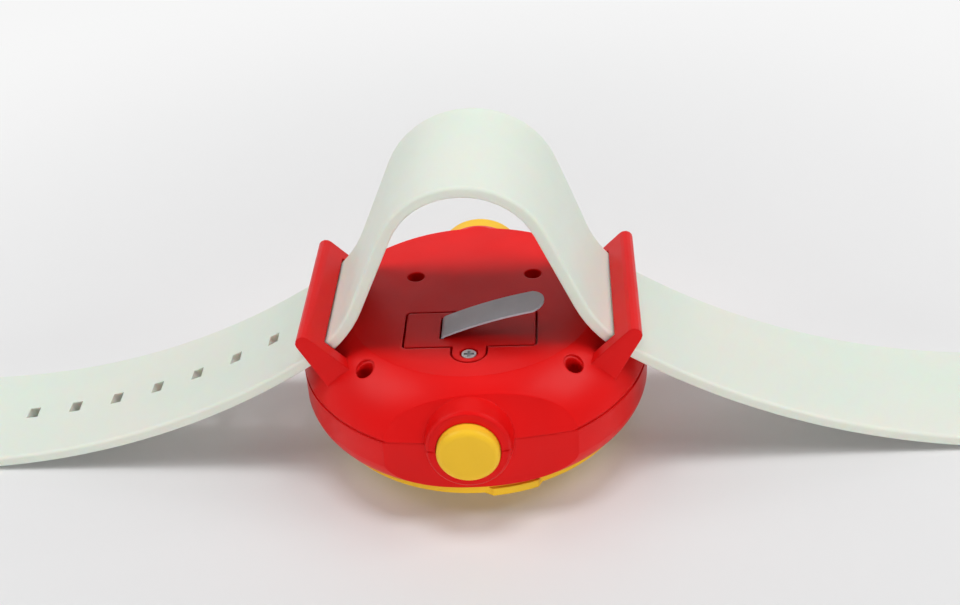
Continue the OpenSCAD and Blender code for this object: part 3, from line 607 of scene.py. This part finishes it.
def build_lamps():
    area_light("overhead", place=(0, 0.03, 0.7), target=(0, 0.01, 0), size=(0.3, 0.14),
               power=1.8, glossy=False)
    area_light("left_box", place=(-0.5, 0, 0.56), target=(0, 0, 0.02), size=(0.4, 0.4),
               power=1.75)
    area_light("right_box", place=(0.5, 0, 0.56), target=(0, 0, 0.02), size=(0.4, 0.4),
               power=2.2)
    area_light("front_fill", place=(0.05, -0.9, 0.08), target=(0, 0, 0.01), size=(1.0, 0.14),
               power=3.9, glossy=False)


def seen_rays(tree):
    """1 for rays that see the studio, directly, in a reflection or through a clear piece.

    It is 0 for the rays that carry the studio's light.
    """
    path = tree.nodes.new("ShaderNodeLightPath")
    seen = path.outputs["Is Camera Ray"]
    for kind in ("Is Glossy Ray", "Is Transmission Ray"):
        either = tree.nodes.new("ShaderNodeMath")
        either.operation = "MAXIMUM"
        tree.links.new(seen, either.inputs[0])
        tree.links.new(path.outputs[kind], either.inputs[1])
        seen = either.outputs[0]
    return seen


def build_world():
    """Weak even light, in front of a pale background."""
    world = bpy.data.worlds.new("studio")
    world.use_nodes = True
    tree = world.node_tree
    light = tree.nodes["Background"]
    light.inputs["Color"].default_value = (*WORLD_COLOR, 1)
    light.inputs["Strength"].default_value = WORLD_LIGHT
    pale = tree.nodes.new("ShaderNodeBackground")
    pale.inputs["Color"].default_value = (*FLOOR_FAR, 1)
    mix = tree.nodes.new("ShaderNodeMixShader")
    tree.links.new(seen_rays(tree), mix.inputs["Fac"])
    tree.links.new(light.outputs[0], mix.inputs[1])
    tree.links.new(pale.outputs[0], mix.inputs[2])
    tree.links.new(mix.outputs[0], tree.nodes["World Output"].inputs["Surface"])
    bpy.context.scene.world = world


def floor_material():
    """Pale satin table top that fades to the plain background all round the object."""
    shader = Shader("floor", FLOOR_NEAR, 0.32, Specular_IOR_Level=0.4)
    shader.rough(shader.span(shader.noise(size=60, detail=3), low=0.29, high=0.36))
    away = shader.node("ShaderNodeVectorMath", operation="LENGTH")
    shader.link(shader.place, away.inputs[0])
    share = shader.node("ShaderNodeMapRange", interpolation_type="SMOOTHSTEP")
    share.inputs["From Min"].default_value = FADE_START * MM
    share.inputs["From Max"].default_value = FADE_END * MM
    share.inputs["To Min"].default_value = NEAR_SHARE
    shader.link(away.outputs["Value"], share.inputs["Value"])
    seen = shader.node("ShaderNodeMath", operation="MULTIPLY")
    shader.link(share.outputs["Result"], seen.inputs[0])
    shader.link(seen_rays(shader.tree), seen.inputs[1])
    pale = shader.node("ShaderNodeEmission")
    pale.inputs["Color"].default_value = (*FLOOR_FAR, 1)
    mix = shader.node("ShaderNodeMixShader")
    shader.link(seen.outputs[0], mix.inputs["Fac"])
    shader.link(shader.bsdf.outputs[0], mix.inputs[1])
    shader.link(pale.outputs[0], mix.inputs[2])
    shader.link(mix.outputs[0], shader.tree.nodes["Material Output"].inputs["Surface"])
    return shader.material


def build_floor():
    bend_y = FLOOR_DEPTH - BACKDROP_BEND
    turns = [math.pi / 2 * (i + 1) / BACKDROP_STEPS for i in range(BACKDROP_STEPS)]
    bend = [(bend_y + BACKDROP_BEND * math.sin(a), BACKDROP_BEND * (1 - math.cos(a)))
            for a in turns]
    profile = [(-FLOOR_REACH, 0), (bend_y, 0), *bend, (FLOOR_DEPTH, BACKDROP_H)]
    bm = bmesh.new()
    left, right = ([bm.verts.new((x, y, z)) for y, z in profile]
                   for x in (-FLOOR_REACH, FLOOR_REACH))
    for i in range(len(profile) - 1):
        bm.faces.new((left[i], right[i], right[i + 1], left[i + 1]))
    floor = new_piece("floor", bm)
    dress(floor, floor_material())


# Assembly

bpy.context.scene.view_settings.view_transform = "Standard"
dial_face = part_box("dial_plate")[0][2] / MM + DIAL_RELIEF
materials = make_materials(dial_face)
build_camera()
build_world()
build_lamps()
build_floor()
dress(build_strap(), materials["strap_rubber"])
dress(build_numbers(dial_face), materials["dark_plastic"])
for part in frame["record"]["subparts"]:
    dress(nodes[part["node"]], materials[part["material_slot"]])
for name, width in EDGE_ROUNDS.items():
    soften(nodes[name], width)
